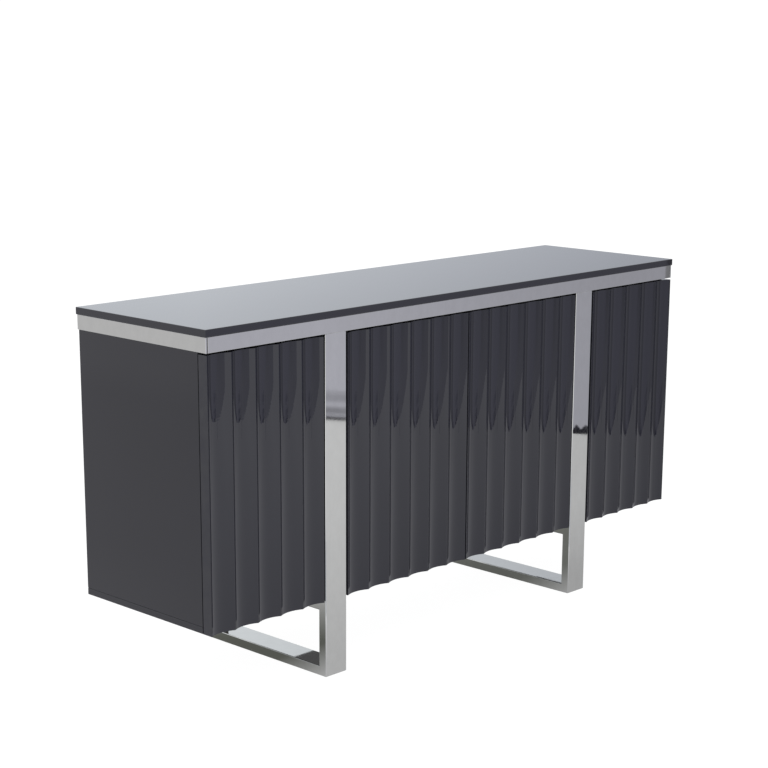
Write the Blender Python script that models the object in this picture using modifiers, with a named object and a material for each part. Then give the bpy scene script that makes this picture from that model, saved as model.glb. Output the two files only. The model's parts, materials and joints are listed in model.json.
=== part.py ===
"""Long low sideboard with four fluted doors, a polished trim band and two polished flat-tube leg frames.

Units are metres. X runs along the length, Y from the front (-Y) to the back, Z up. The origin is on the
floor, under the middle of the top. Doors 1 to 4 count from left to right as seen from the front.
"""

import math

import bmesh
import bpy
from mathutils import Matrix, Vector

# Driving dimensions
LENGTH = 1.500
DEPTH = 0.400
HEIGHT = 0.772
GAP = 0.0003  # clearance between pieces that touch

TOP_THICK = 0.015
BAND_HEIGHT = 0.031
BAND_THICK = 0.004
BAND_INSET = 0.002

BOARD = 0.015
BOTTOM_THICK = 0.014
BACK_THICK = 0.005
BACK_INSET = 0.003
CARCASS_BOTTOM = 0.165
CARCASS_HALF = 0.7465
CARCASS_FRONT = -0.172
CARCASS_REAR = 0.196
SHELF_SETBACK = 0.022

TUBE_WIDTH = 0.060
TUBE_DEPTH = 0.021
TUBE_WALL = 0.0015
TUBE_EDGE = 0.0005
LEG_X = 0.405

DOOR_GAP = 0.004
DOOR_TOP_GAP = 0.004
DOOR_BACK = -0.174
RIDGE_Y = -0.1995
FLUTE_DEPTH = 0.0080
FLUTE_STEPS = 14
CENTRE_GAP = 0.003
OUTER_FLUTES = 5
INNER_FLUTES = 6
DIVIDER_COVER = 0.0145  # how far a door reaches over the divider beside the leg

HINGE_FROM_END = 0.095
CUP_FROM_EDGE = 0.0225
CUP_RADIUS = 0.0175
CUP_DEPTH = 0.0115
CUP_WALL = 0.0012
FLANGE_RADIUS = 0.0198
FLANGE_THICK = 0.0010
PLATE = (0.002, 0.034, 0.050)
PLATE_BACK = 0.037  # from the carcass front to the plate's middle
ARM = (0.013, 0.060, 0.013)
ARM_NOSE = 0.001  # how far the arm stops behind the carcass front

LATCH = (0.014, 0.060, 0.014)
LATCH_SETBACK = 0.006
LATCH_INBOARD = 0.020
PLUNGER_RADIUS = 0.0040
PLUNGER_BORE = 0.0044
PLUNGER_LENGTH = 0.046
STRIKE = (0.016, 0.0010, 0.016)

# Derived sizes
HALF_LENGTH = LENGTH / 2
HALF_DEPTH = DEPTH / 2
TOP_UNDER = HEIGHT - TOP_THICK
BAND_UNDER = TOP_UNDER - BAND_HEIGHT
BAND_X = HALF_LENGTH - BAND_INSET
BAND_Y = HALF_DEPTH - BAND_INSET
BOTTOM_TOP = CARCASS_BOTTOM + BOTTOM_THICK
CEILING = BAND_UNDER - BOARD
BACK_FRONT = CARCASS_REAR - BACK_INSET - BACK_THICK
DOOR_TOP = BAND_UNDER - DOOR_TOP_GAP
DOOR_HEIGHT = DOOR_TOP - CARCASS_BOTTOM
OUTER_FREE = LEG_X + TUBE_WIDTH / 2 + DOOR_GAP
INNER_HINGE = LEG_X - TUBE_WIDTH / 2 - DOOR_GAP
OUTER_DIVIDER = OUTER_FREE + DIVIDER_COVER  # compartment face of the divider behind an outer door
INNER_DIVIDER = INNER_HINGE - DIVIDER_COVER
SIDE_INNER = CARCASS_HALF - BOARD
SHELF_Z = (BOTTOM_TOP + CEILING) / 2 - BOARD / 2
PLUNGER_TIP = DOOR_BACK + GAP + STRIKE[1] + GAP
LATCH_Z = CEILING - GAP - LATCH[2] / 2
LATCH_FRONT = CARCASS_FRONT + LATCH_SETBACK

# Colour, roughness and metallic value of each finish
FINISHES = {
    "top_lacquer": ((0.030, 0.031, 0.036), 0.06, 0.0),
    "charcoal_lacquer": ((0.042, 0.043, 0.050), 0.10, 0.0),
    "door_lacquer": ((0.042, 0.044, 0.052), 0.10, 0.0),
    "polished_steel": ((0.66, 0.66, 0.67), 0.12, 1.0),
    "carcass_board": ((0.16, 0.16, 0.17), 0.45, 0.0),
    "back_board": ((0.13, 0.13, 0.14), 0.55, 0.0),
    "hinge_steel": ((0.55, 0.55, 0.56), 0.25, 1.0),
    "latch_plastic": ((0.20, 0.20, 0.21), 0.40, 0.0),
    "strike_steel": ((0.50, 0.50, 0.50), 0.35, 1.0),
}


def clear_scene():
    for obj in list(bpy.data.objects):
        bpy.data.objects.remove(obj, do_unlink=True)


def new_collection(name, shown):
    collection = bpy.data.collections.new(name)
    collection.hide_render = not shown
    bpy.context.scene.collection.children.link(collection)
    return collection


def finish_material(name, finish):
    """A material of its own for one sub-part, with the finish's values."""
    colour, roughness, metallic = FINISHES[finish]
    material = bpy.data.materials.new(name)
    material.use_nodes = True
    shader = material.node_tree.nodes["Principled BSDF"]
    shader.inputs["Base Color"].default_value = (*colour, 1.0)
    shader.inputs["Roughness"].default_value = roughness
    shader.inputs["Metallic"].default_value = metallic
    material.diffuse_color = (*colour, 1.0)
    return material


def add_object(name, mesh, location, finish=None, parent=None, collection=None):
    """Links a mesh as a named object; location is in world space, also under a parent."""
    obj = bpy.data.objects.new(name, mesh)
    (collection or PARTS).objects.link(obj)
    if finish:
        mesh.materials.append(finish_material(name, finish))
    place = Vector(location)
    if parent:
        obj.parent = parent
        place -= parent.location
    obj.location = place
    return obj


def cube_mesh(name, size):
    mesh = bpy.data.meshes.new(name)
    bm = bmesh.new()
    bmesh.ops.create_cube(bm, size=1.0, matrix=Matrix.Diagonal((*size, 1.0)))
    bm.to_mesh(mesh)
    bm.free()
    return mesh


def cylinder_mesh(name, radius, length, segments=32):
    """A closed cylinder along Y."""
    mesh = bpy.data.meshes.new(name)
    bm = bmesh.new()
    turn = Matrix.Rotation(math.radians(90), 4, "X")
    bmesh.ops.create_cone(
        bm, cap_ends=True, segments=segments, radius1=radius, radius2=radius, depth=length, matrix=turn
    )
    bm.to_mesh(mesh)
    bm.free()
    return mesh


def bevel(obj, width, segments=1):
    modifier = obj.modifiers.new("rounded_edges", "BEVEL")
    modifier.width = width
    modifier.segments = segments
    modifier.limit_method = "ANGLE"
    modifier.angle_limit = math.radians(40)
    return modifier


def combine(obj, other, operation):
    """Cuts the other object away from this one, or joins it on, keeping it as a hidden helper."""
    other.display_type = "WIRE"
    other.hide_render = True
    modifier = obj.modifiers.new(other.name, "BOOLEAN")
    modifier.operation = operation
    modifier.object = other


def smooth(mesh, angle=35):
    mesh.shade_smooth()
    mesh.set_sharp_from_angle(angle=math.radians(angle))


def board(name, low, high, finish, edge=0.0008, segments=1):
    """A rectangular board between two corners, with slightly eased edges."""
    low, high = Vector(low), Vector(high)
    obj = add_object(name, cube_mesh(name, high - low), (low + high) / 2, finish)
    bevel(obj, edge, segments)
    return obj


def tube(name, low, high, finish, open_ends):
    """A hollow rectangular tube between two corners. open_ends are the outward directions left open."""
    low, high = Vector(low), Vector(high)
    mesh = bpy.data.meshes.new(name)
    bm = bmesh.new()
    bmesh.ops.create_cube(bm, size=1.0, matrix=Matrix.Diagonal((*(high - low), 1.0)))
    bm.normal_update()
    ends = [face for face in bm.faces if any(face.normal.dot(Vector(way)) > 0.9 for way in open_ends)]
    bmesh.ops.delete(bm, geom=ends, context="FACES_ONLY")
    bm.to_mesh(mesh)
    bm.free()
    obj = add_object(name, mesh, (low + high) / 2, finish)
    wall = obj.modifiers.new("wall", "SOLIDIFY")
    wall.thickness = TUBE_WALL
    wall.offset = -1.0
    wall.use_even_offset = True
    bevel(obj, TUBE_EDGE)
    return obj


def flute_profile(hinge_x, free_x, flutes):
    """Plan outline of a door, counter-clockwise from above: concave arcs between sharp ridges, flat back.

    Each flute is an arc of one circle through two neighbouring ridges; its middle lies FLUTE_DEPTH behind
    the ridge plane.
    """
    left, right = sorted((hinge_x, free_x))
    pitch = (right - left) / flutes
    radius = (pitch**2 / 4 + FLUTE_DEPTH**2) / (2 * FLUTE_DEPTH)
    half_angle = math.asin(pitch / 2 / radius)
    centre_y = RIDGE_Y + FLUTE_DEPTH - radius
    outline = []
    for flute in range(flutes):
        middle = left + (flute + 0.5) * pitch
        for step in range(FLUTE_STEPS):
            angle = half_angle * (2 * step / FLUTE_STEPS - 1)
            outline.append((middle + radius * math.sin(angle), centre_y + radius * math.cos(angle)))
    outline.append((right, RIDGE_Y))
    outline += [(right, DOOR_BACK), (left, DOOR_BACK)]
    return outline


def door_panel(name, hinge_x, free_x, flutes):
    """A fluted door whose origin is on its hinge axis, at the front corner of its hinge edge."""
    axis = Vector((hinge_x, RIDGE_Y, CARCASS_BOTTOM + DOOR_HEIGHT / 2))
    mesh = bpy.data.meshes.new(name)
    bm = bmesh.new()
    ring = [
        bm.verts.new((x - axis.x, y - axis.y, -DOOR_HEIGHT / 2))
        for x, y in flute_profile(hinge_x, free_x, flutes)
    ]
    foot = bm.faces.new(ring)
    raised = bmesh.ops.extrude_face_region(bm, geom=[foot])["geom"]
    lifted = [item for item in raised if isinstance(item, bmesh.types.BMVert)]
    bmesh.ops.translate(bm, verts=lifted, vec=(0, 0, DOOR_HEIGHT))
    bmesh.ops.recalc_face_normals(bm, faces=bm.faces)
    bm.to_mesh(mesh)
    bm.free()
    door = add_object(name, mesh, axis, "door_lacquer")
    smooth(mesh, 25)
    return door


def hinge_cup(name, x, z, door):
    """A turned cup with a thin flange, sunk into the back of its door and open towards the carcass."""
    outer = CUP_RADIUS - GAP
    seat = GAP  # the flange rests on the door's back face
    mouth = seat + FLANGE_THICK
    floor = seat - CUP_DEPTH + CUP_WALL
    profile = [
        (0, floor),
        (outer - CUP_WALL, floor),
        (outer - CUP_WALL, mouth),
        (FLANGE_RADIUS, mouth),
        (FLANGE_RADIUS, seat),
        (outer, seat),
        (outer, seat - CUP_DEPTH),
        (0, seat - CUP_DEPTH),
    ]
    mesh = bpy.data.meshes.new(name)
    mesh.from_pydata([(r, 0, h) for r, h in profile], [(i, i + 1) for i in range(len(profile) - 1)], [])
    cup = add_object(name, mesh, (x, DOOR_BACK, z), "hinge_steel", door)
    cup.rotation_euler.x = math.radians(-90)
    screw = cup.modifiers.new("turned", "SCREW")
    screw.steps = 32
    screw.render_steps = 32
    screw.use_merge_vertices = True
    screw.merge_threshold = 0.00005
    bore = cylinder_mesh(name + "_bore", CUP_RADIUS, 2 * (CUP_DEPTH + GAP))
    cutter = add_object(bore.name, bore, (x, DOOR_BACK, z), parent=door, collection=HELPERS)
    combine(door, cutter, "DIFFERENCE")


def hinge_arm(name, face_x, inward, z):
    """A mounting plate on a panel's inner face at face_x, with its arm reaching forward to the cup."""
    middle = face_x + inward * (GAP + PLATE[0] / 2)
    plate = add_object(name, cube_mesh(name, PLATE), (middle, CARCASS_FRONT + PLATE_BACK, z), "hinge_steel")
    arm_x = middle + inward * ARM[0] / 2  # the arm starts halfway through the plate
    arm_y = CARCASS_FRONT + ARM_NOSE + ARM[1] / 2
    arm = cube_mesh(name + "_arm", ARM)
    combine(plate, add_object(arm.name, arm, (arm_x, arm_y, z), collection=HELPERS), "UNION")
    bevel(plate, 0.0003)


def push_latch(number, x, door):
    """A push-to-open latch under the ceiling, its plunger, and the strike plate on the door."""
    body_name = f"latch_body_{number}"
    body_y = LATCH_FRONT + LATCH[1] / 2
    body = add_object(body_name, cube_mesh(body_name, LATCH), (x, body_y, LATCH_Z), "latch_plastic")
    bevel(body, 0.0008)
    bore_length = 2 * (PLUNGER_LENGTH + 0.004)
    bore = cylinder_mesh(body_name + "_bore", PLUNGER_BORE, bore_length, 24)
    bore_y = LATCH_FRONT
    combine(body, add_object(bore.name, bore, (x, bore_y, LATCH_Z), collection=HELPERS), "DIFFERENCE")

    plunger = cylinder_mesh(f"latch_plunger_{number}", PLUNGER_RADIUS, PLUNGER_LENGTH, 24)
    smooth(plunger)
    middle = PLUNGER_TIP + PLUNGER_LENGTH / 2
    obj = add_object(plunger.name, plunger, (x, middle, LATCH_Z), "latch_plastic")
    bevel(obj, 0.0006)

    strike = cube_mesh(f"strike_plate_{number}", STRIKE)
    strike_y = DOOR_BACK + GAP + STRIKE[1] / 2
    add_object(strike.name, strike, (x, strike_y, LATCH_Z), "strike_steel", door)


def top_and_band():
    board(
        "top_panel",
        (-HALF_LENGTH, -HALF_DEPTH, TOP_UNDER),
        (HALF_LENGTH, HALF_DEPTH, HEIGHT),
        "top_lacquer",
        0.001,
        2,
    )
    low, high = BAND_UNDER, TOP_UNDER - GAP
    for name, side in (("trim_left", -1), ("trim_right", 1)):
        outer, inner = side * BAND_X, side * (BAND_X - BAND_THICK)
        board(
            name,
            (min(outer, inner), -BAND_Y, low),
            (max(outer, inner), BAND_Y, high),
            "polished_steel",
            0.0004,
        )
    reach = BAND_X - BAND_THICK - 0.0006
    for name, side in (("trim_front", -1), ("trim_rear", 1)):
        outer, inner = side * BAND_Y, side * (BAND_Y - BAND_THICK)
        board(
            name,
            (-reach, min(outer, inner), low),
            (reach, max(outer, inner), high),
            "polished_steel",
            0.0004,
        )
    core_x, core_y = BAND_X - BAND_THICK - GAP, BAND_Y - BAND_THICK - GAP
    board("top_core", (-core_x, -core_y, low + GAP), (core_x, core_y, high), "carcass_board")


def carcass():
    front, rear = CARCASS_FRONT, CARCASS_REAR
    board(
        "bottom_panel",
        (-CARCASS_HALF, front, CARCASS_BOTTOM),
        (CARCASS_HALF, rear, BOTTOM_TOP),
        "charcoal_lacquer",
    )
    for side, word in ((-1, "left"), (1, "right")):
        span = sorted((side * CARCASS_HALF, side * SIDE_INNER))
        board(
            f"side_panel_{word}",
            (span[0], front, BOTTOM_TOP + GAP),
            (span[1], rear, BAND_UNDER - GAP),
            "charcoal_lacquer",
        )
    inside = SIDE_INNER - GAP
    board("carcass_top", (-inside, front, CEILING), (inside, rear, BAND_UNDER - GAP), "carcass_board")
    board(
        "back_panel",
        (-inside, BACK_FRONT, BOTTOM_TOP + GAP),
        (inside, BACK_FRONT + BACK_THICK, CEILING - GAP),
        "back_board",
        0.0004,
    )
    for side, word in ((-1, "left"), (1, "right")):
        for place, face, way in (("outer", OUTER_DIVIDER, -1), ("inner", INNER_DIVIDER, 1)):
            span = sorted((side * face, side * (face + way * BOARD)))
            board(
                f"divider_{word}_{place}",
                (span[0], front, BOTTOM_TOP + GAP),
                (span[1], BACK_FRONT - GAP, CEILING - GAP),
                "carcass_board",
            )
    clearance = 0.001
    shelves = (
        ("left", -SIDE_INNER, -OUTER_DIVIDER),
        ("centre", -INNER_DIVIDER, INNER_DIVIDER),
        ("right", OUTER_DIVIDER, SIDE_INNER),
    )
    for word, left, right in shelves:
        board(
            f"shelf_{word}",
            (left + clearance, front + SHELF_SETBACK, SHELF_Z),
            (right - clearance, BACK_FRONT - clearance, SHELF_Z + BOARD),
            "carcass_board",
        )


def leg_frame(word, x):
    """A full-height front upright, a short rear post and two rails, all of the same flat tube."""
    left, right = x - TUBE_WIDTH / 2, x + TUBE_WIDTH / 2
    front_back = -BAND_Y + TUBE_DEPTH
    rear_front = BAND_Y - TUBE_DEPTH
    up, forward, backward = (0, 0, 1), (0, -1, 0), (0, 1, 0)
    tube(
        f"leg_{word}_upright",
        (left, -BAND_Y, 0),
        (right, front_back, BAND_UNDER - GAP),
        "polished_steel",
        (up,),
    )
    tube(
        f"leg_{word}_rear_post",
        (left, rear_front, 0),
        (right, BAND_Y, CARCASS_BOTTOM - GAP),
        "polished_steel",
        (up,),
    )
    tops = (("floor_rail", TUBE_DEPTH), ("upper_rail", CARCASS_BOTTOM - GAP))
    for place, top in tops:
        tube(
            f"leg_{word}_{place}",
            (left, front_back + GAP, top - TUBE_DEPTH),
            (right, rear_front - GAP, top),
            "polished_steel",
            (forward, backward),
        )


def doors():
    """Each row: number, hinge edge, free edge, flutes, inner face that carries the hinges, way inwards."""
    rows = (
        (1, -CARCASS_HALF, -OUTER_FREE, OUTER_FLUTES, -SIDE_INNER, 1),
        (2, -INNER_HINGE, -CENTRE_GAP / 2, INNER_FLUTES, -INNER_DIVIDER, 1),
        (3, INNER_HINGE, CENTRE_GAP / 2, INNER_FLUTES, INNER_DIVIDER, -1),
        (4, CARCASS_HALF, OUTER_FREE, OUTER_FLUTES, SIDE_INNER, -1),
    )
    for number, hinge_x, free_x, flutes, face_x, inward in rows:
        door = door_panel(f"door_{number}", hinge_x, free_x, flutes)
        for word, z in (
            ("upper", DOOR_TOP - HINGE_FROM_END),
            ("lower", CARCASS_BOTTOM + HINGE_FROM_END),
        ):
            hinge_cup(f"hinge_cup_{number}_{word}", hinge_x + inward * CUP_FROM_EDGE, z, door)
            hinge_arm(f"hinge_arm_{number}_{word}", face_x, inward, z)
        bevel(door, 0.0005)
        outer_door = number in (1, 4)
        latch_edge = -inward * OUTER_DIVIDER if outer_door else free_x
        push_latch(number, latch_edge - inward * LATCH_INBOARD, door)


clear_scene()
PARTS = new_collection("sideboard", shown=True)
HELPERS = new_collection("sideboard_cutters", shown=False)
top_and_band()
carcass()
for leg_word, leg_side in (("left", -1), ("right", 1)):
    leg_frame(leg_word, leg_side * LEG_X)
doors()
bpy.context.view_layer.update()
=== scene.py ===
"""Looks of a long sideboard: charcoal gloss lacquer, fluted doors, a polished band and flat-tube leg frames.

Every new piece is a surface worked out on a grid of two parameters and put straight into place, in metres,
in the frame of the solid parts it stands for. The solid parts that keep their own shape get finer materials.
"""

import json
import math

import bpy
import numpy as np
from mathutils import Matrix, Vector


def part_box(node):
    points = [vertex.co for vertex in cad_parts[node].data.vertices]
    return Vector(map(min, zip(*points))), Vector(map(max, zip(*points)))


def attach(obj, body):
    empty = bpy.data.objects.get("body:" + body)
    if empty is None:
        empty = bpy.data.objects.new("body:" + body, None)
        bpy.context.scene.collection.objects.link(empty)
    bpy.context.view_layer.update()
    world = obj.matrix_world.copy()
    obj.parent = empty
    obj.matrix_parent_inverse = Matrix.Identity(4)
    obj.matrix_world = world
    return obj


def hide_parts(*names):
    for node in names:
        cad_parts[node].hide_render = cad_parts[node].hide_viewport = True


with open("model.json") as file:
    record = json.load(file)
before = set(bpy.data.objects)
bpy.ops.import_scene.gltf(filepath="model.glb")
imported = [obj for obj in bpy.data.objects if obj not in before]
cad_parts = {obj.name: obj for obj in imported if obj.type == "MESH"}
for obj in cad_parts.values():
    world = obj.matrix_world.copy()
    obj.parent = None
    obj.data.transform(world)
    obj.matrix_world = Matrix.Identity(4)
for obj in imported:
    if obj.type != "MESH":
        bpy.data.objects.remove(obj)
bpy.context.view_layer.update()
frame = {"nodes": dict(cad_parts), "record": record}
NODES = frame["nodes"]
BODY_OF = {node: body for body, nodes in frame["record"]["behaviour"]["bodies"].items() for node in nodes}
SLOT_OF = {part["node"]: part["material_slot"] for part in frame["record"]["subparts"]}
WHITE = (1, 1, 1, 1)

# ---------------------------------------------------------------- node helpers


def new_group(name, inputs, outputs):
    """A shader node group with named inputs (name, kind, default) and outputs (name, kind)."""
    group = bpy.data.node_groups.new(name, "ShaderNodeTree")
    for label, kind, value in inputs:
        socket = group.interface.new_socket(label, in_out="INPUT", socket_type="NodeSocket" + kind)
        socket.default_value = value
    for label, kind in outputs:
        group.interface.new_socket(label, in_out="OUTPUT", socket_type="NodeSocket" + kind)
    return group, Tree(group)


class Tree:
    """Short ways to add and join nodes in one node tree."""

    def __init__(self, tree):
        self.tree = tree

    def add(self, kind, **settings):
        """A node of that kind. A setting is an attribute of the node, or else it fills or joins an input."""
        node = self.tree.nodes.new(kind)
        sockets = {}
        for key, value in settings.items():
            if hasattr(node, key):
                setattr(node, key, value)
            else:
                sockets[key] = value
        for key, value in sockets.items():
            self.put(node, key, value)
        return node

    def put(self, node, key, value):
        """Fills or joins an input: key is its name with _ for each space, or _ and its number."""
        socket = node.inputs[int(key[1:])] if key[0] == "_" else node.inputs[key.replace("_", " ")]
        if isinstance(value, bpy.types.NodeSocket):
            self.tree.links.new(value, socket)
        else:
            socket.default_value = value

    def math(self, operation, a, b=0.0, clamp=False):
        node = self.add("ShaderNodeMath", operation=operation, use_clamp=clamp, _0=a, _1=b)
        return node.outputs[0]

    def noise(self, vector, scale, detail=2.0, roughness=0.5):
        node = self.add("ShaderNodeTexNoise", Vector=vector, Scale=scale, Detail=detail, Roughness=roughness)
        return node.outputs["Fac"]

    def spread(self, value, low, high, to_low=0.0, to_high=1.0):
        """The value carried from one range to another, and held there outside it."""
        node = self.add("ShaderNodeMapRange", clamp=True)
        for index, item in enumerate((value, low, high, to_low, to_high)):
            self.put(node, f"_{index}", item)
        return node.outputs[0]

    def mix(self, share, a, b):
        node = self.add("ShaderNodeMix", data_type="RGBA")
        self.put(node, "_0", share)
        self.put(node, "_6", a)
        self.put(node, "_7", b)
        return node.outputs[2]

    def times(self, vector, by):
        """A colour or vector multiplied by another, each number by its own."""
        return self.add("ShaderNodeVectorMath", operation="MULTIPLY", _0=vector, _1=by).outputs[0]

    def scaled(self, colour, by):
        """A colour multiplied by one number."""
        return self.add("ShaderNodeVectorMath", operation="SCALE", _0=colour, Scale=by).outputs[0]

    def tint(self, share, colour, by):
        """The colour multiplied by another, up to that share."""
        return self.times(colour, self.mix(share, WHITE, by))

    def product(self, first, *others):
        """Several numbers multiplied together."""
        for other in others:
            first = self.math("MULTIPLY", first, other)
        return first

    def attribute(self, name, output):
        """A value or colour that the mesh carries at its points."""
        return self.add("ShaderNodeAttribute", attribute_name=name).outputs[output]

    def place(self, scale=(1, 1, 1)):
        """Object coordinates, stretched by scale."""
        where = self.add("ShaderNodeTexCoord").outputs["Object"]
        return self.add("ShaderNodeMapping", Vector=where, Scale=scale).outputs[0]


def grey(value, warm=0.0):
    """A grey of that value, its red raised and its blue lowered by the share warm."""
    return (value * (1 + warm), value, value * (1 - warm), 1.0)


# ---------------------------------------------------------------- shared effects


def make_gloss_group():
    """Sprayed and polished lacquer: slow drift in tone, wipe marks, specks of dust, fine spray ripple."""
    group, tree = new_group(
        "gloss_lacquer",
        [
            ("Colour", "Color", grey(0.02)),
            ("Edge Colour", "Color", grey(0.06)),
            ("Roughness", "Float", 0.015),
            ("Ripple", "Float", 1.0),
        ],
        [("Colour", "Color"), ("Roughness", "Float"), ("Height", "Float")],
    )
    given = tree.add("NodeGroupInput").outputs
    where = tree.place()
    drift = tree.spread(tree.noise(where, 3.0, 3.0), 0.3, 0.7)
    tone = tree.mix(drift, tree.scaled(given["Colour"], 0.82), given["Colour"])
    rubbed = tree.spread(tree.noise(where, 45.0, 4.0), 0.35, 0.75)
    rub = tree.product(tree.attribute("edge", "Fac"), rubbed)
    tone = tree.mix(tree.math("MULTIPLY", rub, 0.35), tone, given["Edge Colour"])
    specks = tree.add("ShaderNodeTexVoronoi", Vector=where, Scale=420.0, Randomness=1.0).outputs["Distance"]
    dusty = tree.spread(tree.noise(where, 9.0), 0.52, 0.7)
    dust = tree.product(tree.spread(specks, 0.02, 0.09, 1.0, 0.0), dusty)
    tone = tree.mix(tree.math("MULTIPLY", dust, 0.20), tone, grey(0.30))
    wipes = tree.noise(tree.place((2.0, 2.0, 14.0)), 2.2, 5.0, 0.6)
    rough = tree.math("ADD", given["Roughness"], tree.spread(wipes, 0.45, 0.8, 0.0, 0.02))
    rough = tree.math("ADD", rough, tree.math("MULTIPLY", dust, 0.25))
    rough = tree.math("ADD", rough, tree.math("MULTIPLY", rub, 0.10))
    ripple = tree.math("MULTIPLY", tree.noise(where, 210.0, 1.0), given["Ripple"])
    tree.add("NodeGroupOutput", Colour=tone, Roughness=rough, Height=ripple)
    return group


def make_polish_group():
    """Mirror-polished stainless sheet: very fine polishing lines, slow waves and faint finger haze."""
    group, tree = new_group(
        "polished_sheet",
        [
            ("Colour", "Color", grey(0.46)),
            ("Roughness", "Float", 0.015),
            ("Line Stretch", "Vector", (1.0, 1.0, 1.0)),
        ],
        [("Colour", "Color"), ("Roughness", "Float"), ("Height", "Float")],
    )
    given = tree.add("NodeGroupInput").outputs
    where = tree.place()
    lines = tree.noise(tree.times(where, given["Line Stretch"]), 1.0, 3.0, 0.7)
    haze = tree.spread(tree.noise(where, 14.0, 4.0, 0.6), 0.4, 0.75)
    brighter = tree.scaled(given["Colour"], 1.12)
    tone = tree.mix(tree.math("MULTIPLY", lines, 0.35), given["Colour"], brighter)
    clouds = tree.spread(tree.noise(tree.place((1.0, 1.0, 0.6)), 55.0, 4.0, 0.65), 0.35, 0.72)
    tone = tree.mix(clouds, tone, tree.scaled(tone, 0.95))
    tone = tree.mix(tree.math("MULTIPLY", tree.attribute("edge", "Fac"), 0.4), tone, grey(0.60))
    rough = tree.math("ADD", given["Roughness"], tree.math("MULTIPLY", lines, 0.02))
    rough = tree.math("ADD", rough, tree.math("MULTIPLY", haze, 0.03))
    height = tree.math("ADD", tree.math("MULTIPLY", lines, 0.02), tree.noise(where, 9.0, 1.0))
    tree.add("NodeGroupOutput", Colour=tone, Roughness=rough, Height=height)
    return group


def make_board_group():
    """Faced board: a fine printed grain, small pores and a slight cloudiness."""
    group, tree = new_group(
        "faced_board",
        [
            ("Colour", "Color", grey(0.15)),
            ("Pore Colour", "Color", grey(0.09)),
            ("Grain Stretch", "Vector", (1, 1, 1)),
        ],
        [("Colour", "Color"), ("Roughness", "Float"), ("Height", "Float")],
    )
    given = tree.add("NodeGroupInput").outputs
    where = tree.place()
    grain = tree.noise(tree.times(where, given["Grain Stretch"]), 1.0, 5.0, 0.65)
    pores = tree.spread(tree.noise(where, 1500.0, 2.0), 0.56, 0.70)
    cloud = tree.noise(where, 5.0, 2.0)
    share = tree.math("MULTIPLY", tree.spread(grain, 0.35, 0.7), 0.5)
    share = tree.math("ADD", share, tree.math("MULTIPLY", pores, 0.4))
    share = tree.math("ADD", share, tree.math("MULTIPLY", cloud, 0.15), clamp=True)
    tone = tree.mix(share, given["Colour"], given["Pore Colour"])
    rough = tree.spread(grain, 0.3, 0.7, 0.38, 0.55)
    height = tree.math("SUBTRACT", tree.math("MULTIPLY", grain, 0.4), pores)
    tree.add("NodeGroupOutput", Colour=tone, Roughness=rough, Height=height)
    return group


def make_moulded_group():
    """Moulded plastic or plated small steel: fine spark texture with light scuffs."""
    group, tree = new_group(
        "small_part_skin",
        [
            ("Colour", "Color", grey(0.2)),
            ("Scuff Colour", "Color", grey(0.3)),
            ("Roughness", "Float", 0.4),
        ],
        [("Colour", "Color"), ("Roughness", "Float"), ("Height", "Float")],
    )
    given = tree.add("NodeGroupInput").outputs
    where = tree.place()
    spark = tree.noise(where, 2600.0, 2.0)
    scuff = tree.spread(tree.noise(tree.place((1.0, 0.15, 1.0)), 350.0, 4.0, 0.7), 0.56, 0.74)
    tone = tree.mix(tree.math("MULTIPLY", scuff, 0.6), given["Colour"], given["Scuff Colour"])
    rough = tree.math("ADD", given["Roughness"], tree.math("MULTIPLY", scuff, 0.12))
    rough = tree.math("ADD", rough, tree.math("MULTIPLY", spark, 0.05))
    tree.add("NodeGroupOutput", Colour=tone, Roughness=rough, Height=spark)
    return group


GLOSS = make_gloss_group()
POLISH = make_polish_group()
BOARD = make_board_group()
SKIN = make_moulded_group()

# ---------------------------------------------------------------- materials


def finish(name, group, bump, distance, uniform, **inputs):
    """A material whose colour, roughness and bump vary as one group says.

    uniform holds the values of the shader's own sockets, and inputs those of the group.
    """
    material = bpy.data.materials.new(name)
    material.use_nodes = True
    tree = Tree(material.node_tree)
    shader = material.node_tree.nodes["Principled BSDF"]
    effect = tree.add("ShaderNodeGroup", node_tree=group)
    for key, value in inputs.items():
        tree.put(effect, key, value)
    tree.put(shader, "Base_Color", effect.outputs["Colour"])
    tree.put(shader, "Roughness", effect.outputs["Roughness"])
    relief = tree.add("ShaderNodeBump", Strength=bump, Distance=distance, Height=effect.outputs["Height"])
    tree.put(shader, "Normal", relief.outputs[0])
    for key, value in uniform.items():
        shader.inputs[key].default_value = value
    return material


def lacquer(name, colour):
    """Gloss lacquer of this colour, a little paler where its edges are rubbed."""
    return finish(name, GLOSS, 0.05, 0.0003, {"IOR": 1.5}, Colour=colour, Edge_Colour=grey(0.03))


def polished_steel(name, colour, stretch):
    """Polished sheet, with its lines close together along the axes that are stretched most."""
    return finish(name, POLISH, 0.10, 0.0004, {"Metallic": 1.0}, Colour=colour, Line_Stretch=stretch)


def faced_board(name, bump, colour, stretch):
    """Faced board, with its grain running along the axes that are stretched least."""
    return finish(name, BOARD, bump, 0.0002, {"IOR": 1.45}, Colour=colour, Grain_Stretch=stretch)


def small_part(name, bump, uniform, colour, scuff, roughness):
    """The skin of a small fitting, with scuffs of another colour."""
    return finish(name, SKIN, bump, 0.0001, uniform, Colour=colour, Scuff_Colour=scuff, Roughness=roughness)


def plated_steel(name, bump, colour, scuff, roughness):
    return small_part(name, bump, {"Metallic": 1.0}, colour, scuff, roughness)


def moulded_plastic(name, colour, scuff, roughness):
    return small_part(name, 0.20, {"IOR": 1.5}, colour, scuff, roughness)


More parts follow.
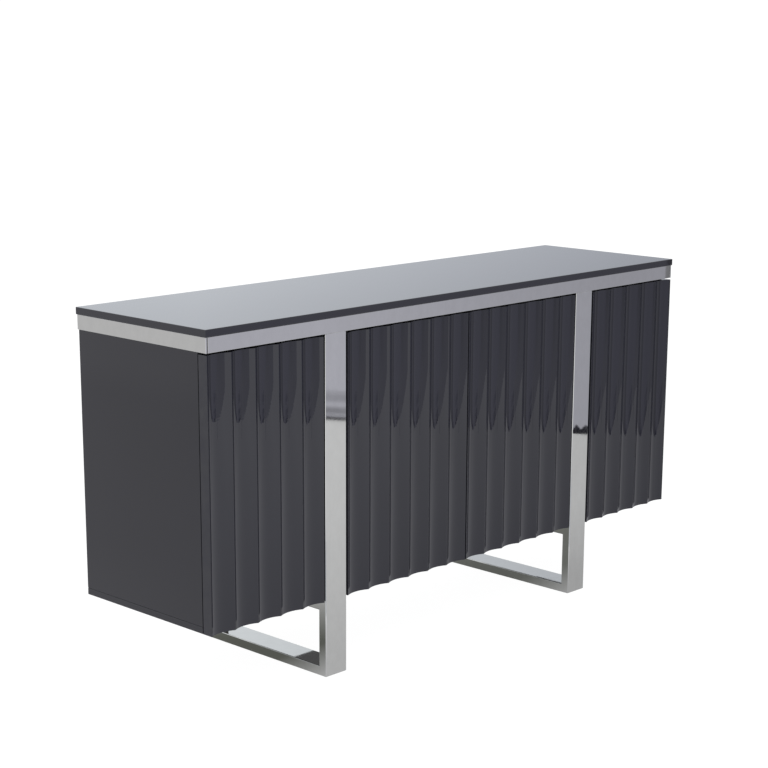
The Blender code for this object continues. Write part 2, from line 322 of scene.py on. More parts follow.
MATERIALS = {
    "top_lacquer": lacquer("top_gloss_lacquer", (0.0085, 0.0085, 0.0135, 1)),
    "charcoal_lacquer": lacquer("panel_gloss_lacquer", (0.0060, 0.0059, 0.0100, 1)),
    "door_lacquer": lacquer("door_gloss_lacquer", (0.0075, 0.0078, 0.0142, 1)),
    "polished_trim": polished_steel("polished_band_steel", (0.470, 0.470, 0.450, 1), (3, 3, 1500)),
    "polished_legs": polished_steel("polished_leg_steel", (0.490, 0.492, 0.470, 1), (1500, 900, 3)),
    "carcass_board": faced_board("grey_faced_board", 0.25, (0.17, 0.17, 0.175, 1), (6, 160, 6)),
    "back_board": faced_board("grey_back_board", 0.30, (0.12, 0.12, 0.125, 1), (90, 90, 4)),
    "hinge_steel": plated_steel("nickel_plated_steel", 0.05, grey(0.60, 0.02), grey(0.42), 0.22),
    "strike_steel": plated_steel("zinc_plated_steel", 0.08, grey(0.55), grey(0.38), 0.30),
    "latch_plastic": moulded_plastic("grey_moulded_plastic", grey(0.17), grey(0.27), 0.42),
    "plunger_plastic": moulded_plastic("pale_moulded_plastic", grey(0.38), grey(0.50), 0.40),
}

for node, piece in NODES.items():
    piece.data.materials.clear()
    piece.data.materials.append(MATERIALS[SLOT_OF[node]])

# ---------------------------------------------------------------- surfaces


def grid_faces(rows, columns, wrap_rows=False, wrap_columns=False):
    """Quads of a grid of points counted row by row; a wrapped direction joins its last line to its first."""
    i = np.arange(rows if wrap_rows else rows - 1)[:, None]
    j = np.arange(columns if wrap_columns else columns - 1)[None, :]
    below, right = (i + 1) % rows, (j + 1) % columns
    corners = (i * columns + j, below * columns + j, below * columns + right, i * columns + right)
    return np.stack(np.broadcast_arrays(*corners), -1).reshape(-1, 4)


def tube_faces(rings, around):
    """Quads of a tube made of rings of points, and one face over each end."""
    faces = [list(face) for face in grid_faces(rings, around, wrap_columns=True)]
    first = list(range(around))
    last = [(rings - 1) * around + k for k in first]
    return faces + [first, last[::-1]]


def turned_over(faces):
    """The faces with their corners in the opposite order, so that they look the other way."""
    return [list(face)[::-1] for face in faces]


def merged(shapes):
    """Several (points, faces, edge) shapes as one."""
    points, faces, edges, count = [], [], [], 0
    for shape_points, shape_faces, edge in shapes:
        points.append(shape_points)
        edges.append(edge)
        faces += [list(np.asarray(face) + count) for face in shape_faces]
        count += len(shape_points)
    return np.concatenate(points), faces, np.concatenate(edges)


def welded(points, faces, edge):
    """Points that fall together made one."""
    _, kept, index = np.unique(np.round(points, 7), axis=0, return_index=True, return_inverse=True)
    return points[kept], index.reshape(-1)[faces], edge[kept]


def keep_faces_flat(piece):
    """Shades each vertex by its largest faces, so that an eased edge leaves the flat faces flat."""
    normals = piece.modifiers.new("flat_faces_stay_flat", "WEIGHTED_NORMAL")
    normals.weight = 100


def put_piece(name, shape, slot, body, replaced=(), flat_faces=True):
    """The shape (points, faces, edge) as a named mesh with the slot's material, riding on its body.

    edge is 1 where a point lies on an edge that hands rub, and 0 elsewhere.
    """
    points, faces, edge = shape
    mesh = bpy.data.meshes.new(name)
    mesh.from_pydata(np.asarray(points, float).tolist(), [], [list(map(int, face)) for face in faces])
    mesh.attributes.new("edge", "FLOAT", "POINT").data.foreach_set("value", np.asarray(edge, np.float32))
    mesh.materials.append(MATERIALS[slot])
    mesh.shade_smooth()
    piece = bpy.data.objects.new(name, mesh)
    bpy.context.scene.collection.objects.link(piece)
    if flat_faces:
        keep_faces_flat(piece)
    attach(piece, body)
    if replaced:
        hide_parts(*replaced)
    return piece


def rounded_block(low, high, radius, steps=4):
    """A block with rounded edges.

    The inner block is smaller by radius on every side. Each face of the plain block carries a grid whose
    outer lines lie radius * tan(angle) past the inner block, for angles from 0 to 45 degrees. Every point is
    then drawn in to radius from the nearest point of the inner block.
    """
    low, high = np.array(low, float), np.array(high, float)
    middle, half = (low + high) / 2, (high - low) / 2
    radius = min(radius, 0.998 * half.min())
    inner = half - radius
    past = radius * np.tan(np.linspace(0, math.pi / 4, steps + 1))
    shapes = []
    for axis in range(3):
        first, second = (axis + 1) % 3, (axis + 2) % 3
        lines = [np.concatenate([-inner[k] - past[::-1], inner[k] + past]) for k in (first, second)]
        across, along = np.meshgrid(*lines, indexing="ij")
        for side in (-1, 1):
            points = np.empty((*across.shape, 3))
            points[..., axis] = side * half[axis]
            points[..., first] = across
            points[..., second] = along
            faces = grid_faces(*across.shape)[:, ::side]
            shapes.append((points.reshape(-1, 3), faces))
    points = np.concatenate([points for points, _ in shapes])
    counts = np.cumsum([0] + [len(points) for points, _ in shapes[:-1]])
    faces = np.concatenate([faces + count for (_, faces), count in zip(shapes, counts)])
    nearest = np.clip(points, -inner, inner)
    away = points - nearest
    points = nearest + radius * away / np.linalg.norm(away, axis=1, keepdims=True) + middle
    edge = (np.count_nonzero(np.abs(away) > 1e-9, axis=1) > 1).astype(float)
    return welded(points, faces, edge)


def board_piece(node, radius, steps=4, longer=(0, 0, 0)):
    """A finer stand-in for a box-shaped solid, with rounded edges and both ends moved out by longer."""
    low, high = (np.array(corner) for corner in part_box(node))
    shape = rounded_block(low - longer, high + longer, radius, steps)
    put_piece(f"{node}_finish", shape, SLOT_OF[node], BODY_OF[node], [node])


SLAB_EDGE = 0.0012
STRIP_EDGE = 0.0006
STRIP_JOINT = 0.0012  # how far the long strips stop short, which shows as a dark line at the corners
PANEL_EDGE = 0.0010
INNER_BOARD_EDGE = 0.0008
TUBE_EDGE = 0.0016
WELD_GAP = 0.0003  # clearance between the solids of the upper rail and the uprights

board_piece("top_panel", SLAB_EDGE, 5)
for strip in ("trim_front", "trim_rear"):
    board_piece(strip, STRIP_EDGE, longer=(-STRIP_JOINT, 0, 0))
for strip in ("trim_left", "trim_right"):
    board_piece(strip, STRIP_EDGE)
for board in ("side_panel_left", "side_panel_right", "bottom_panel"):
    board_piece(board, PANEL_EDGE)


def rounded_ring(half_across, half_thick, radius, steps=4):
    """Points round a rectangle whose corners are quarter circles: two coordinates, and 1 on the corners."""
    quarter = np.linspace(0, math.pi / 2, steps + 1)
    angle = (np.arange(4)[:, None] * math.pi / 2 + quarter).ravel()
    side = np.repeat([(1, 1), (-1, 1), (-1, -1), (1, -1)], steps + 1, axis=0)
    across = side[:, 0] * (half_across - radius) + radius * np.cos(angle)
    thick = side[:, 1] * (half_thick - radius) + radius * np.sin(angle)
    on_corner = (np.abs(np.sin(2 * angle)) > 0.02).astype(float)
    return across, thick, on_corner


def bent_frame(word, radius=TUBE_EDGE):
    """A leg frame's upright, floor rail and rear post as one tube with mitred corners.

    A rounded rectangle is carried down the upright, along the floor and up the post. At a corner its points
    slide along the path by as much as they lie outwards from the inner side, and stop short of the outer
    corner by a share of the radius, which leaves a small chamfer there.
    """
    upright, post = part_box(f"leg_{word}_upright"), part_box(f"leg_{word}_rear_post")
    (left, front, floor), (right, front_inner, top) = upright
    rear_inner, rear, post_top = post[0].y, post[1].y, post[1].z
    thick = front_inner - front
    across, depth, on_corner = rounded_ring((right - left) / 2, thick / 2, radius)
    outward = depth + thick / 2  # 0 on the frame's inner side, thick on its outer side
    short = radius * outward / thick
    inner_floor = floor + thick
    still = np.zeros_like(outward)
    lines = [
        (front_inner - outward, still + top),
        (front_inner - outward, inner_floor - outward + short),
        (front_inner - outward + short, inner_floor - outward),
        (rear_inner + outward - short, inner_floor - outward),
        (rear_inner + outward, inner_floor - outward + short),
        (rear_inner + outward, still + post_top),
    ]
    y, z = (np.stack(column) for column in zip(*lines))
    x = np.broadcast_to((left + right) / 2 + across, y.shape)
    points = np.stack([x, y, z], -1)
    edge = np.broadcast_to(on_corner, y.shape).reshape(-1)
    return points.reshape(-1, 3), turned_over(tube_faces(*y.shape)), edge


for word in ("left", "right"):
    replaced = [f"leg_{word}_{place}" for place in ("upright", "floor_rail", "rear_post")]
    put_piece(f"leg_{word}_bent_frame", bent_frame(word), "polished_legs", "cabinet", replaced)
    # both rounded ends of the upper rail reach into the posts, so that the welded joints run flush
    board_piece(f"leg_{word}_upper_rail", TUBE_EDGE, 5, longer=(0, 2 * TUBE_EDGE + WELD_GAP, 0))
for node in NODES:
    if node.startswith(("shelf_", "divider_")) or node in ("carcass_top", "top_core"):
        board_piece(node, INNER_BOARD_EDGE, 3)

# ---------------------------------------------------------------- fluted doors

FLUTES = {1: 5, 2: 6, 3: 6, 4: 5}
FLUTE_DEPTH = 0.0080
DOOR_EDGE = 0.0009  # radius of a door's outer edges
CREST = 0.0004  # half-width of the softened crest between two flutes
SEAT_RADIUS = 0.0175
SEAT_DEPTH = 0.0118


def flute_front(x, left, right, flutes, ridge):
    """How far forward the door's face is at x, and how near x is to a crest.

    Each flute is an arc of a circle through two neighbouring ridges, FLUTE_DEPTH deep at its middle. At the
    distance t from a ridge, slope * (sqrt(t^2 + CREST^2) - t) is added, which rounds the sharp crest. The
    nearness is exp(-(t / CREST / 2)^2).
    """
    pitch = (right - left) / flutes
    radius = (pitch**2 / 4 + FLUTE_DEPTH**2) / (2 * FLUTE_DEPTH)
    from_middle = (x - left) % pitch - pitch / 2
    from_ridge = pitch / 2 - np.abs(from_middle)
    arc = ridge + FLUTE_DEPTH - radius + np.sqrt(radius**2 - from_middle**2)
    slope = pitch / 2 / math.sqrt(radius**2 - pitch**2 / 4)
    face = arc + slope * (np.sqrt(from_ridge**2 + CREST**2) - from_ridge)
    return face, np.exp(-((from_ridge / CREST / 2) ** 2))


def fluted_panel(low, high, flutes, corner=4):
    """A door: a rounded rectangle in height and thickness, carried across with its front on the flutes.

    From each crest the lines stand at CREST * sinh(a), for a from 0 to 2.5, and then evenly up to the middle
    of the flute. At both ends the rectangle shrinks by DOOR_EDGE * (1 - sin a) while the line stands
    DOOR_EDGE * (1 - cos a) from the end, for a from 0 to 90 degrees.
    """
    left, right = low.x, high.x
    pitch = (right - left) / flutes
    near = CREST * np.sinh(np.linspace(0, 2.5, 8))
    half = np.concatenate([near, np.linspace(near[-1], pitch / 2, 14)[1:]])
    flute = np.concatenate([half, pitch - half[-2::-1]])
    x = np.concatenate([left + pitch * k + flute[(k > 0) :] for k in range(flutes)])
    quarter = np.linspace(0, math.pi / 2, corner + 1)
    from_end, shrinks = DOOR_EDGE * (1 - np.cos(quarter)), DOOR_EDGE * (1 - np.sin(quarter))
    inside = (x > left + 1.01 * DOOR_EDGE) & (x < right - 1.01 * DOOR_EDGE)
    x = np.concatenate([left + from_end, x[inside], right - from_end[::-1]])
    shrink = np.concatenate([shrinks, np.zeros(inside.sum()), shrinks[::-1]])[:, None]
    just_inside = np.clip(x, left + 1e-9, right - 1e-9)
    front, crest = (line[:, None] for line in flute_front(just_inside, left, right, flutes, low.y))
    # corner arcs of the rectangle, in the order front bottom, front top, back top, back bottom
    angle = (math.pi * 1.5 - np.arange(4)[:, None] * math.pi / 2 - quarter).ravel()
    is_back, is_top = (np.repeat(flags, corner + 1) for flags in ((0, 0, 1, 1), (0, 1, 1, 0)))
    across, up = np.cos(angle), np.sin(angle)
    inset = shrink + DOOR_EDGE
    y = np.where(is_back, high.y - shrink - DOOR_EDGE, front + inset) + DOOR_EDGE * across
    z = np.where(is_top, high.z - shrink - DOOR_EDGE, low.z + inset) + DOOR_EDGE * up
    points = np.stack([np.broadcast_to(x[:, None], y.shape), y, z], -1)
    edge = np.maximum(0.2 * crest * (1 - is_back), (np.abs(across * up) > 0.02) * 1.0)
    edge = np.maximum(edge, (shrink > 0.2 * DOOR_EDGE) * 1.0)
    return points.reshape(-1, 3), tube_faces(*y.shape), np.broadcast_to(edge, y.shape).reshape(-1)


def round_cutter(name, centre, around=64):
    """A cylinder about centre, SEAT_DEPTH long either way along the door's thickness."""
    angle = np.linspace(0, 2 * math.pi, around + 1)[:-1]
    across, up = SEAT_RADIUS * np.cos(angle), SEAT_RADIUS * np.sin(angle)
    ring = np.stack([centre[0] + across, 0 * angle, centre[2] + up], -1)
    near, far = ring + (0, centre[1] - SEAT_DEPTH, 0), ring + (0, centre[1] + SEAT_DEPTH, 0)
    mesh = bpy.data.meshes.new(name)
    mesh.from_pydata(np.concatenate([near, far]).tolist(), [], tube_faces(2, around))
    cutter = bpy.data.objects.new(name, mesh)
    bpy.context.scene.collection.objects.link(cutter)
    return cutter


def cut_round_seats(piece, seats):
    """Sinks the hinge cups' seats into a door's back: each a cylinder taken away with an exact Boolean."""
    cutters = [round_cutter(f"seat_{number}", centre) for number, centre in enumerate(seats)]
    for cutter in cutters:
        piece.modifiers.new("seat", "BOOLEAN").object = cutter
    graph = bpy.context.evaluated_depsgraph_get()
    mesh = bpy.data.meshes.new_from_object(piece.evaluated_get(graph))
    piece.modifiers.clear()
    piece.data = mesh
    for cutter in cutters:
        bpy.data.objects.remove(cutter)


for number, flutes in FLUTES.items():
    node = f"door_{number}"
    low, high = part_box(node)
    shape = fluted_panel(low, high, flutes)
    piece = put_piece(f"{node}_fluted_panel", shape, "door_lacquer", node, [node], flat_faces=False)
    cups = [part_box(f"hinge_cup_{number}_{place}") for place in ("upper", "lower")]
    centres = [(cup_low + cup_high) / 2 for cup_low, cup_high in cups]
    cut_round_seats(piece, [(centre.x, high.y, centre.z) for centre in centres])
    keep_faces_flat(piece)

# ---------------------------------------------------------------- small fittings

CROSS_ARM = 0.16  # half the width of a screw's cross, as a share of the head's radius
CROSS_REACH = 0.62
PLATE_THICK = 0.002
PLATE_HALF = 0.017
PLATE_SCREW_AT = 0.0165  # from the plate's middle, up and down
ARM_LIFT = 0.0006  # the arm's underside, off the panel


def turned(centre, way, profile, around=32, cross=0.0, hollow=False):
    """A closed turned shape: a profile of (radius, height) pairs carried round an axis through centre.

    way is the axis, pointing where height grows. The two ends are closed with flat faces, or joined to each
    other if the shape is hollow. cross sinks a cross-shaped recess of that depth into the end, out to
    CROSS_REACH of the radius: across an arm the depth falls off as exp(-(distance / width)^4).
    """
    way = Vector(way).normalized()
    first = way.orthogonal().normalized()
    axes = np.array([first, way.cross(first), way])
    radius, height = (np.array(column)[:, None] for column in zip(*profile))
    angle = np.linspace(0, 2 * math.pi, around + 1)[:-1][None, :]
    u, v = radius * np.cos(angle), radius * np.sin(angle)
    height = height + 0 * angle
    rows = len(profile)
    if cross:
        arm = CROSS_ARM * radius.max()
        arms = np.maximum(np.exp(-((u / arm) ** 4)), np.exp(-((v / arm) ** 4)))
        at_end = np.arange(rows)[:, None] > rows // 2
        height = height - cross * arms * (np.hypot(u, v) < CROSS_REACH * radius.max()) * at_end
    points = np.array(centre) + np.stack([u, v, height], -1).reshape(-1, 3) @ axes
    if hollow:
        faces = grid_faces(rows, around, wrap_rows=True, wrap_columns=True)
    else:
        faces = tube_faces(rows, around)
    return points, turned_over(faces), np.zeros(len(points))


def screw_head(centre, way, radius, height):
    """A low domed screw head: at a share s of the radius it stands height * (1 - 0.55 * s^2) high."""
    rings = np.array([0.97, 0.88, 0.75, 0.62, 0.55, 0.45, 0.35, 0.25, 0.15, 0.05])
    dome = [(radius * share, height * (1 - 0.55 * share**2)) for share in rings]
    foot = [(radius * 0.96, 0.0), (radius, 0.15 * height), (radius, 0.30 * height)]
    return turned(centre, way, foot + dome, 28, 0.35 * height)


def back_screws():
    """Screw heads round the edge of the back panel and down the lines of the dividers in front of it."""
    low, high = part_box("back_panel")
    inset = 0.011
    columns, rows = (low.x + inset, high.x - inset), (low.z + inset, high.z - inset)
    heads = [(x, z) for x in np.linspace(*columns, 7) for z in rows]
    heads += [(x, z) for x in columns for z in np.linspace(low.z, high.z, 5)[1:-1]]
    for word in ("left_outer", "left_inner", "right_inner", "right_outer"):
        board_low, board_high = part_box(f"divider_{word}")
        middle = (board_low.x + board_high.x) / 2
        heads += [(middle, z) for z in np.linspace(low.z, high.z, 4)[1:-1]]
    shapes = [screw_head((x, high.y, z), (0, 1, 0), 0.0036, 0.0012) for x, z in heads]
    put_piece("back_panel_screws", merged(shapes), "strike_steel", "cabinet", flat_faces=False)


def shelf_pins(word):
    """Four short round pins with a collar under a shelf, each with a flat tongue that the shelf lies on."""
    low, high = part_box(f"shelf_{word}")
    radius, length, collar, gap = 0.0025, 0.0080, 0.0040, 0.0002
    profile = [
        (collar, 0.0),
        (collar, 0.0010),
        (radius, 0.0012),
        (radius, length - 0.0004),
        (radius - 0.0004, length),
    ]
    shapes = []
    for wall, way in ((low.x - 0.001, 1), (high.x + 0.001, -1)):
        for y in (low.y + 0.037, high.y - 0.037):
            shapes.append(turned((wall, y, low.z - 0.0003 - collar), (way, 0, 0), profile, 24))
            near, far = sorted((wall, wall + way * length))
            tongue_low = (near + 0.0012, y - 0.0035, low.z - gap - collar)
            tongue_high = (far - 0.0002, y + 0.0035, low.z - gap)
            shapes.append(rounded_block(tongue_low, tongue_high, 0.0006, 2))
    put_piece(f"shelf_pins_{word}", merged(shapes), "strike_steel", "cabinet")


def hinge_way(number):
    """1 for a door that hangs on its left edge, so that its hinges face right, and -1 for the others."""
    return 1 if number in (1, 2) else -1


def hinge_arm(number, place):
    """A hinge's plate on the panel with two screws, and its arm with two more.

    The arm is a rounded rectangle carried from its nose to its tail. It stands at its full rise near the
    nose and comes down in half a wave of a cosine to 0.42 of it, while it narrows by a fifth.
    """
    node = f"hinge_arm_{number}_{place}"
    low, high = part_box(node)
    way = hinge_way(number)
    face = low.x if way > 0 else high.x
    middle_z = (low.z + high.z) / 2
    plate_top = face + way * PLATE_THICK
    plate_middle = low.y + 0.036
    plate_low = (min(face, plate_top), plate_middle - PLATE_HALF, low.z)
    plate_high = (max(face, plate_top), plate_middle + PLATE_HALF, high.z)
    shapes = [rounded_block(plate_low, plate_high, 0.0007, 3)]
    for side in (-1, 1):
        centre = (plate_top, plate_middle, middle_z + side * PLATE_SCREW_AT)
        shapes.append(screw_head(centre, (way, 0, 0), 0.0036, 0.0016))
    rise = high.x - low.x - 0.0008
    share = np.linspace(0, 1, 25)
    wave = (1 - np.cos(np.pi * np.clip(1.25 * (1 - share), 0, 1))) / 2
    tall = rise * (0.42 + 0.58 * wave)
    across, thick, _ = rounded_ring(0.5, 0.5, 0.16, 3)
    wide = 0.0125 - 0.0025 * share[:, None]
    x = face + way * (ARM_LIFT + (tall[:, None] - ARM_LIFT) * (thick + 0.5))
    y = np.broadcast_to(low.y + share[:, None] * (high.y - low.y), x.shape)
    points = np.stack([x, y, middle_z + wide * across], -1).reshape(-1, 3)
    faces = tube_faces(*x.shape)
    shapes.append((points, turned_over(faces) if way > 0 else faces, np.zeros(len(points))))
    for at in (0.30, 0.72):
        top = face + way * float(np.interp(at, share, tall))
        centre = (top, low.y + at * (high.y - low.y), middle_z)
        shapes.append(screw_head(centre, (way, 0, 0), 0.0032, 0.0008))
    put_piece(f"{node}_fitting", merged(shapes), "hinge_steel", "cabinet", [node])


def hinge_cup(number, place):
    """A pressed hinge cup with a rolled rim and a stepped floor, and two blocks for the link inside it."""
    node = f"hinge_cup_{number}_{place}"
    low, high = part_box(node)
    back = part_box(f"door_{number}")[1].y
    middle = ((low.x + high.x) / 2, back, (low.z + high.z) / 2)
    outer, rim = 0.0171, (high.x - low.x) / 2
    lip = high.y - back
    bottom = low.y - back
    profile = [
        (0.0010, bottom),
        (outer - 0.0012, bottom),
        (outer - 0.0004, bottom + 0.0004),
        (outer, bottom + 0.0012),
        (outer, 0.0003),
        (rim - 0.0004, 0.0003),
        (rim, 0.0006),
        (rim - 0.0003, lip - 0.0001),
        (rim - 0.0008, lip),
        (outer - 0.0006, lip),
        (outer - 0.0012, lip - 0.0006),
        (outer - 0.0014, bottom + 0.0030),
        (outer - 0.0030, bottom + 0.0016),
        (0.0010, bottom + 0.0014),
    ]
    shapes = [turned(middle, (0, 1, 0), profile, 64)]
    way = hinge_way(number)
    link_floor, link_half = back + bottom + 0.0012, 0.0052
    for shift, half, depth in ((-0.0075 * way, 0.0035, 0.0045), (0.0030 * way, 0.0050, 0.0030)):
        link_low = (middle[0] + shift - half, link_floor, middle[2] - link_half)
        link_high = (middle[0] + shift + half, link_floor + depth, middle[2] + link_half)
        shapes.append(rounded_block(link_low, link_high, 0.0008, 3))
    put_piece(f"{node}_fitting", merged(shapes), "hinge_steel", f"door_{number}", [node])


def latch_details(number):
    """A collar round the plunger's mouth, and a thin rounded strike plate on the door."""
    low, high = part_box(f"latch_plunger_{number}")
    latch_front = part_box(f"latch_body_{number}")[0].y
    mouth = ((low.x + high.x) / 2, latch_front, (low.z + high.z) / 2)
    bore, collar = 0.0045, 0.0064
    profile = [
        (collar, -0.0004),
        (collar, 0.0009),
        (collar - 0.0006, 0.0014),
        (bore + 0.0005, 0.0014),
        (bore, 0.0010),
        (bore, -0.0004),
    ]
    ring = turned(mouth, (0, -1, 0), profile, 40, hollow=True)
    put_piece(f"latch_collar_{number}", ring, "latch_plastic", "cabinet", flat_faces=False)
    board_piece(f"strike_plate_{number}", 0.0004, 3)


back_screws()
for word in ("left", "centre", "right"):
    shelf_pins(word)
for number in FLUTES:
    for place in ("upper", "lower"):
        hinge_arm(number, place)
        hinge_cup(number, place)
    latch_details(number)

# ---------------------------------------------------------------- floor, light and camera

CARD_TOP = 0.80  # just over the sideboard, as its upright faces mirror nothing higher


def stage_piece(name, points, faces):
    """A piece of the studio, with an empty material whose node tree is returned."""
    mesh = bpy.data.meshes.new(name)
    mesh.from_pydata([tuple(point) for point in points], [], faces)
    piece = bpy.data.objects.new(name, mesh)
    bpy.context.scene.collection.objects.link(piece)
    material = bpy.data.materials.new(name)
    material.use_nodes = True
    material.node_tree.nodes.clear()
    mesh.materials.append(material)
    return piece, Tree(material.node_tree)


def glow_card(name, first, last, low, high, first_glow, last_glow, mottle=0.0):
    """An upright glowing card from one foot point to another, its glow going from one side to the other.

    low and high give the heights of its lower and upper edge, each as one height or as one at each side.
    No camera ray meets it: it is there to be mirrored in the polished faces.
    """
    (low_a, low_b), (high_a, high_b) = (np.broadcast_to(pair, 2) for pair in (low, high))
    points = [(*first, low_a), (*last, low_b), (*last, high_b), (*first, high_a)]
    card, tree = stage_piece(name, points, [(0, 1, 2, 3)])
    glow = card.data.attributes.new("glow", "FLOAT_COLOR", "POINT")
    colours = np.ones((4, 4), np.float32)
    colours[:, :3] = [first_glow, last_glow, last_glow, first_glow]
    glow.data.foreach_set("color", colours.ravel())
    colour = tree.attribute("glow", "Color")
    if mottle:
        patches = tree.noise(tree.place((1.0, 1.0, 0.35)), 7.0, 4.0, 0.7)
        height = tree.add("ShaderNodeSeparateXYZ", Vector=tree.place()).outputs["Z"]
        most = tree.spread(height, 0.10, 0.50, 0.1 * mottle, mottle)
        share = tree.spread(patches, 0.38, 0.62, 0.0, most)
        colour = tree.mix(share, colour, grey(0.25))
    light = tree.add("ShaderNodeEmission", Color=colour, Strength=1.0)
    output = tree.add("ShaderNodeOutputMaterial")
    tree.put(output, "Surface", light.outputs[0])
    card.visible_camera = False
    card.visible_diffuse = False


def studio_floor():
    """A large plain floor: white to the camera, and to everything else a sheet of paper whose tone varies.

    The paper's tone is painted light and shade, and 0.55 of what it sends out is its own glow. Its painted
    level is
    0.95 - 0.13 * x - 0.16 * y, with x held at -0.5 or more and y at 0 or less, and is lowered by a factor in
    each of the dimmer stretches, which are painted shade. Each polished face mirrors its own part of it.
    """
    reach = 40.0
    corners = [(-reach, -reach, 0), (reach, -reach, 0), (reach, reach, 0), (-reach, reach, 0)]
    _, tree = stage_piece("studio_floor", corners, [(0, 1, 2, 3)])
    where = tree.add("ShaderNodeTexCoord").outputs["Object"]
    place = tree.add("ShaderNodeSeparateXYZ", Vector=where).outputs
    x, y = place["X"], place["Y"]

    def dimmed(level, value, low, high, at_low, at_high):
        """The level times a factor that goes from at_low to at_high as the value goes from low to high."""
        return tree.product(level, tree.spread(value, low, high, at_low, at_high))

    # painted light: the paper's level rises towards the front and towards the left
    sideways = tree.math("MULTIPLY", tree.math("MAXIMUM", x, -0.5), -0.13)
    forwards = tree.math("MULTIPLY", tree.math("MINIMUM", y, 0.0), -0.16)
    level = tree.math("ADD", tree.math("ADD", sideways, forwards), 0.95)
    # a faint shadow in front of the right leg
    foot = (0.55, -0.30, 0.0)
    from_foot = tree.add("ShaderNodeVectorMath", operation="DISTANCE", _0=where, _1=foot).outputs["Value"]
    level = dimmed(level, from_foot, 0.05, 0.60, 0.92, 1.0)
    # painted shade over a stretch behind a slanting line, and over one beside the right end
    across = tree.math("ADD", tree.math("MULTIPLY", x, 0.6), tree.math("MULTIPLY", y, 0.8))
    painted_shade_past_line = tree.product(tree.spread(across, 0.11, 0.24), tree.spread(x, -0.6, 0.3))
    level = dimmed(level, painted_shade_past_line, 0.0, 1.0, 1.0, 0.86)
    painted_shade_beside_end = tree.product(tree.spread(x, 1.3, 1.8), tree.spread(y, -0.5, -0.2))
    level = dimmed(level, painted_shade_beside_end, 0.0, 1.0, 1.0, 0.82)
    # painted shade: a broad darker strip to the left, which the left side panel mirrors
    strip = 0.92
    level = dimmed(level, x, -1.4, -1.0, strip, 1.0)
    level = dimmed(level, x, -3.0, -2.6, 1.0 / strip, 1.0)
    tone = tree.mix(tree.spread(level, 0.0, 1.40), grey(0.0), (0.985, 0.983, 1.02, 1))
    # painted shade: the paper a little darker and warmer towards the back, from y = -0.15 to y = 0.30
    tone = tree.tint(tree.spread(y, -0.15, 0.30), tone, (0.936, 0.932, 0.926, 1))
    # the shade under the cabinet, deeper at the left
    under = tree.product(
        tree.spread(tree.math("ABSOLUTE", x), 0.90, 0.60),
        tree.spread(y, -0.20, -0.04),
        tree.spread(y, 0.42, 0.22),
    )
    shade = tree.mix(tree.spread(x, -0.45, 0.10), (0.29, 0.30, 0.265, 1), (0.45, 0.465, 0.43, 1))
    tone = tree.tint(under, tone, shade)
    matt = tree.add("ShaderNodeBsdfDiffuse", Color=tone)
    glow = tree.add("ShaderNodeEmission", Color=tone, Strength=1.40)
    # the paper, half matt and half glowing, shows its painted light and shade only to rays that are not
    # camera rays
    painted_light_paper = tree.add("ShaderNodeMixShader", _0=0.55, _1=matt.outputs[0], _2=glow.outputs[0])
    plain = tree.add("ShaderNodeBsdfDiffuse", Color=grey(0.86))
    lit = tree.add("ShaderNodeEmission", Color=WHITE, Strength=1.08)
    white = tree.add("ShaderNodeMixShader", _0=0.90, _1=plain.outputs[0], _2=lit.outputs[0])
    seen = tree.add("ShaderNodeLightPath").outputs["Is Camera Ray"]
    both = tree.add("ShaderNodeMixShader", _0=seen, _1=painted_light_paper.outputs[0], _2=white.outputs[0])
    output = tree.add("ShaderNodeOutputMaterial")
    tree.put(output, "Surface", both.outputs[0])


def studio_world():
    """A soft room: white to the camera, bright overhead, and by the horizon brighter at the back left."""
    world = bpy.data.worlds.new("studio_room")
    bpy.context.scene.world = world
    world.use_nodes = True
    world.node_tree.nodes.clear()
    tree = Tree(world.node_tree)
    way = tree.add("ShaderNodeTexCoord").outputs["Generated"]
    height = tree.add("ShaderNodeSeparateXYZ", Vector=way).outputs["Z"]
    brightest = math.radians(51)  # from straight back towards the left
    to_left = (-math.sin(brightest), math.cos(brightest), 0.0)
    side = tree.add("ShaderNodeVectorMath", operation="DOT_PRODUCT", _0=way, _1=to_left).outputs["Value"]
    back = tree.mix(tree.spread(side, -0.27, -0.02), (0.62, 0.65, 0.72, 1), (1.08, 1.13, 1.20, 1))
    room = tree.mix(tree.spread(height, 0.34, 0.62), back, (1.38, 1.38, 1.40, 1))
    dim = tree.add("ShaderNodeBackground", Color=room, Strength=1.0)
    white = tree.add("ShaderNodeBackground", Color=WHITE, Strength=1.08)
    seen = tree.add("ShaderNodeLightPath").outputs["Is Camera Ray"]
    both = tree.add("ShaderNodeMixShader", _0=seen, _1=dim.outputs[0], _2=white.outputs[0])
    output = tree.add("ShaderNodeOutputWorld")
    tree.put(output, "Surface", both.outputs[0])


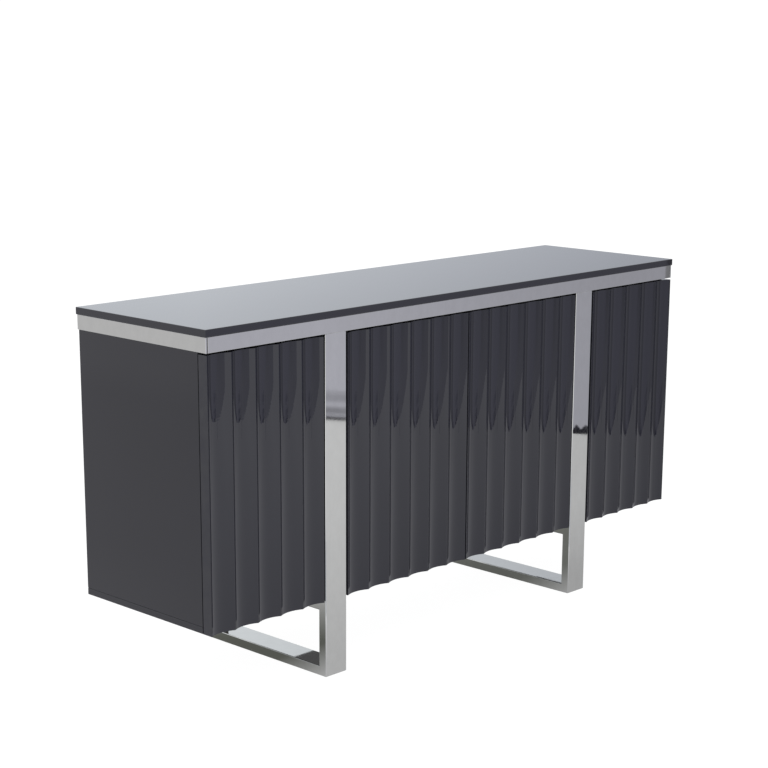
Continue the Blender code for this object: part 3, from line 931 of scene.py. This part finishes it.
def studio_surroundings():
    """What stands around the paper at the front right, seen only in the polished faces.

    A pale screen, wider above than at its foot, with layered strips along the left part of its foot and a
    small dark crumpled weight near its right end, a dim stretch beyond it, a cluttered wall to its left and
    one short stand leg in front of that wall.
    """
    right, left, far_left = (1.862, -1.130), (1.320, -2.040), (-0.25, -3.45)
    pale_left, pale_right = np.array((0.75, 0.75, 0.87)), np.array((0.555, 0.555, 0.645))

    def along(share):
        """The foot point at this share of the screen's length, from its left end."""
        return tuple(np.array(left) + share * (np.array(right) - left))

    def pale(share):
        return pale_left + share * (pale_right - pale_left)

    def even_card(name, first, last, low, high, glow):
        glow_card(name, first, last, low, high, glow, glow)

    # strips of the screen's foot: the height of each edge, and each strip's share of the screen's tone
    heights = (0.0, 0.0115, 0.026, 0.041, 0.048, 0.063, 0.069, 0.090, 0.104)
    shares = (0.04, 0.71, 0.48, 0.68, 0.95, 0.77, 0.65, 0.78)
    reach = 0.55
    for number, share in enumerate(shares):
        low, high = heights[number], heights[number + 1]
        tones = pale(0) * share, pale(reach) * (share + 2) / 3
        glow_card(f"screen_strip_{number}", left, along(reach), low, high, *tones)
    glow_card("screen_left_part", left, along(reach), heights[-1], CARD_TOP, pale(0), pale(reach))
    glow_card("screen_right_part", along(reach), right, 0.0, CARD_TOP, pale(reach), pale(1))
    even_card("screen_left_wing", (0.93, -2.36), (1.315, -2.02), (0.20, 0.10), CARD_TOP, pale(0))
    even_card("screen_right_wing", right, (2.24, -0.69), (0.0, 0.60), CARD_TOP, pale(1))
    # the weight's upper outline, as shares of the screen's length and heights
    tops = ((0.78, 0.0), (0.825, 0.006), (0.842, 0.033), (0.856, 0.016), (0.872, 0.032), (0.90, 0.020))
    before = np.array((-0.004, 0.006))  # the weight stands just in front of the screen
    for number, ((first, low), (last, high)) in enumerate(zip(tops, tops[1:])):
        feet = np.array(along(first)) + before, np.array(along(last)) + before
        even_card(f"crumpled_weight_{number}", *feet, 0.0, (low, high), (0.03, 0.03, 0.04))
    even_card("screen_weight", (1.812, -1.20), (2.13, -0.80), 0.0, (0.012, 0.13), (0.08, 0.08, 0.10))
    dim_tones = (0.32, 0.32, 0.35), (0.30, 0.30, 0.32)
    glow_card("dim_wall", (1.88, -1.12), (3.61, 1.25), 0.0, CARD_TOP, *dim_tones)
    wall_tones = (0.86, 0.86, 0.94), (0.80, 0.80, 0.88)
    glow_card("cluttered_wall", far_left, left, 0.0, CARD_TOP, *wall_tones, mottle=0.7)
    even_card("stand_leg", (0.915, -2.0), (0.945, -1.98), 0.0, 0.15, (0.45, 0.45, 0.50))


def camera():
    """A long lens from the front left, a little above the top, with a slight roll."""
    azimuth, elevation, roll = map(math.radians, (-46.127, 13.536, 0.24))
    data = bpy.data.cameras.new("camera")
    data.lens = 85.88
    data.shift_y = 0.1
    data.clip_start, data.clip_end = 0.05, 200
    view = bpy.data.objects.new("camera", data)
    bpy.context.scene.collection.objects.link(view)
    turn = Matrix.Rotation(azimuth, 4, "Z") @ Matrix.Rotation(math.pi / 2 - elevation, 4, "X")
    turn = turn @ Matrix.Rotation(roll, 4, "Z")
    view.matrix_world = Matrix.Translation((-2.9612, -2.7919, 1.3379)) @ turn
    bpy.context.scene.camera = view


studio_floor()
studio_world()
studio_surroundings()
camera()
bpy.context.scene.view_settings.view_transform = "Standard"
